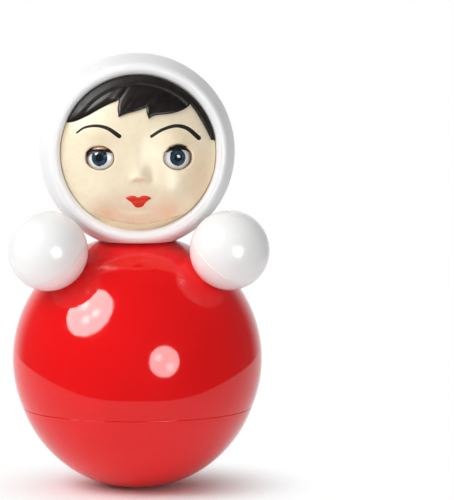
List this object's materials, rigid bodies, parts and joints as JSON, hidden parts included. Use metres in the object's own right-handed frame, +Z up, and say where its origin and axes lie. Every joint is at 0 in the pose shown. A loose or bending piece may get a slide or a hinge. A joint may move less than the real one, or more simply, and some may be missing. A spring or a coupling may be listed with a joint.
{
  "type": "roly poly toy",
  "caption": "Self-righting roly poly doll: round weighted body, hooded head with sleep eyes, ball hands and a hammer chime inside.",
  "frame": {"origin": "middle of the small flat under the bowl that the toy stands on", "axes": "+Z up through the middle of body and head, -Y towards the viewer, the way the face looks, +X to the toy's own left"},
  "size_m": [0.1242, 0.121, 0.2107],
  "materials": {
    "red_shell": "high gloss moulded",
    "white_hood": "satin moulded",
    "white_hand": "high gloss moulded",
    "face_skin": "satin moulded, with painted brows, lips and blush",
    "hair": "painted moulding",
    "eye_white": "polished",
    "iris_blue": "polished",
    "pupil_black": "polished",
    "lid_brown": "painted",
    "lash_black": "bristle",
    "natural_plastic": "as moulded",
    "cast_weight": "as cast",
    "steel": "plated",
    "brass_ball": "turned",
    "alloy_block": "sawn"
  },
  "bodies": {
    "toy": {"lower_bowl": "red_shell", "body_shell": "red_shell", "hood_back": "red_shell", "hood_front": "white_hood", "hand_ball_left": "white_hand", "hand_ball_right": "white_hand", "hand_base_left": "white_hand", "hand_base_right": "white_hand", "face_mask": "face_skin", "hair_fringe": "hair", "neck_spool": "natural_plastic", "neck_lock_ring": "natural_plastic", "axle_spacers": "natural_plastic", "eye_cup_left": "natural_plastic", "eye_cup_right": "natural_plastic", "hand_peg_left": "natural_plastic", "hand_peg_right": "natural_plastic", "ballast_weight": "cast_weight", "ballast_screw": "steel", "chime_frame": "steel", "block_screws": "steel", "hammer_axle": "steel", "axle_caps": "steel", "chime_rod_front_1": "steel", "chime_rod_front_2": "steel", "chime_rod_front_3": "steel", "chime_rod_front_4": "steel", "chime_rod_rear_1": "steel", "chime_rod_rear_2": "steel", "chime_rod_rear_3": "steel", "chime_rod_rear_4": "steel", "hand_clip_left": "steel", "hand_clip_right": "steel", "rod_block_front": "alloy_block", "rod_block_rear": "alloy_block"},
    "hammer_1": {"hammer_arm_1": "steel", "hammer_ball_1": "brass_ball"},
    "hammer_2": {"hammer_arm_2": "steel", "hammer_ball_2": "brass_ball"},
    "hammer_3": {"hammer_arm_3": "steel", "hammer_ball_3": "brass_ball"},
    "hammer_4": {"hammer_arm_4": "steel", "hammer_ball_4": "brass_ball"},
    "eye_left": {"eyeball_left": "eye_white", "iris_left": "iris_blue", "pupil_left": "pupil_black", "eyelid_left": "lid_brown", "lashes_left": "lash_black", "eye_axle_left": "steel", "eye_weight_left": "cast_weight"},
    "eye_right": {"eyeball_right": "eye_white", "iris_right": "iris_blue", "pupil_right": "pupil_black", "eyelid_right": "lid_brown", "lashes_right": "lash_black", "eye_axle_right": "steel", "eye_weight_right": "cast_weight"}
  },
  "joints": [
    {"name": "hammer_swing_1", "type": "hinge", "parent": "toy", "child": "hammer_1", "pos_m": [-0.018, 0, 0.0745], "axis": [1, 0, 0], "range_deg": [-13.5, 13.5]},
    {"name": "hammer_swing_2", "type": "hinge", "parent": "toy", "child": "hammer_2", "pos_m": [-0.006, 0, 0.0745], "axis": [1, 0, 0], "range_deg": [-13.5, 13.5]},
    {"name": "hammer_swing_3", "type": "hinge", "parent": "toy", "child": "hammer_3", "pos_m": [0.006, 0, 0.0745], "axis": [1, 0, 0], "range_deg": [-13.5, 13.5]},
    {"name": "hammer_swing_4", "type": "hinge", "parent": "toy", "child": "hammer_4", "pos_m": [0.018, 0, 0.0745], "axis": [1, 0, 0], "range_deg": [-13.5, 13.5]},
    {"name": "eye_close_left", "type": "hinge", "parent": "toy", "child": "eye_left", "pos_m": [0.01599, -0.02267, 0.16162], "axis": [0.958, 0.2867, 0], "range_deg": [0, 48]},
    {"name": "eye_close_right", "type": "hinge", "parent": "toy", "child": "eye_right", "pos_m": [-0.01599, -0.02267, 0.16162], "axis": [0.958, -0.2867, 0], "range_deg": [0, 48]}
  ]
}
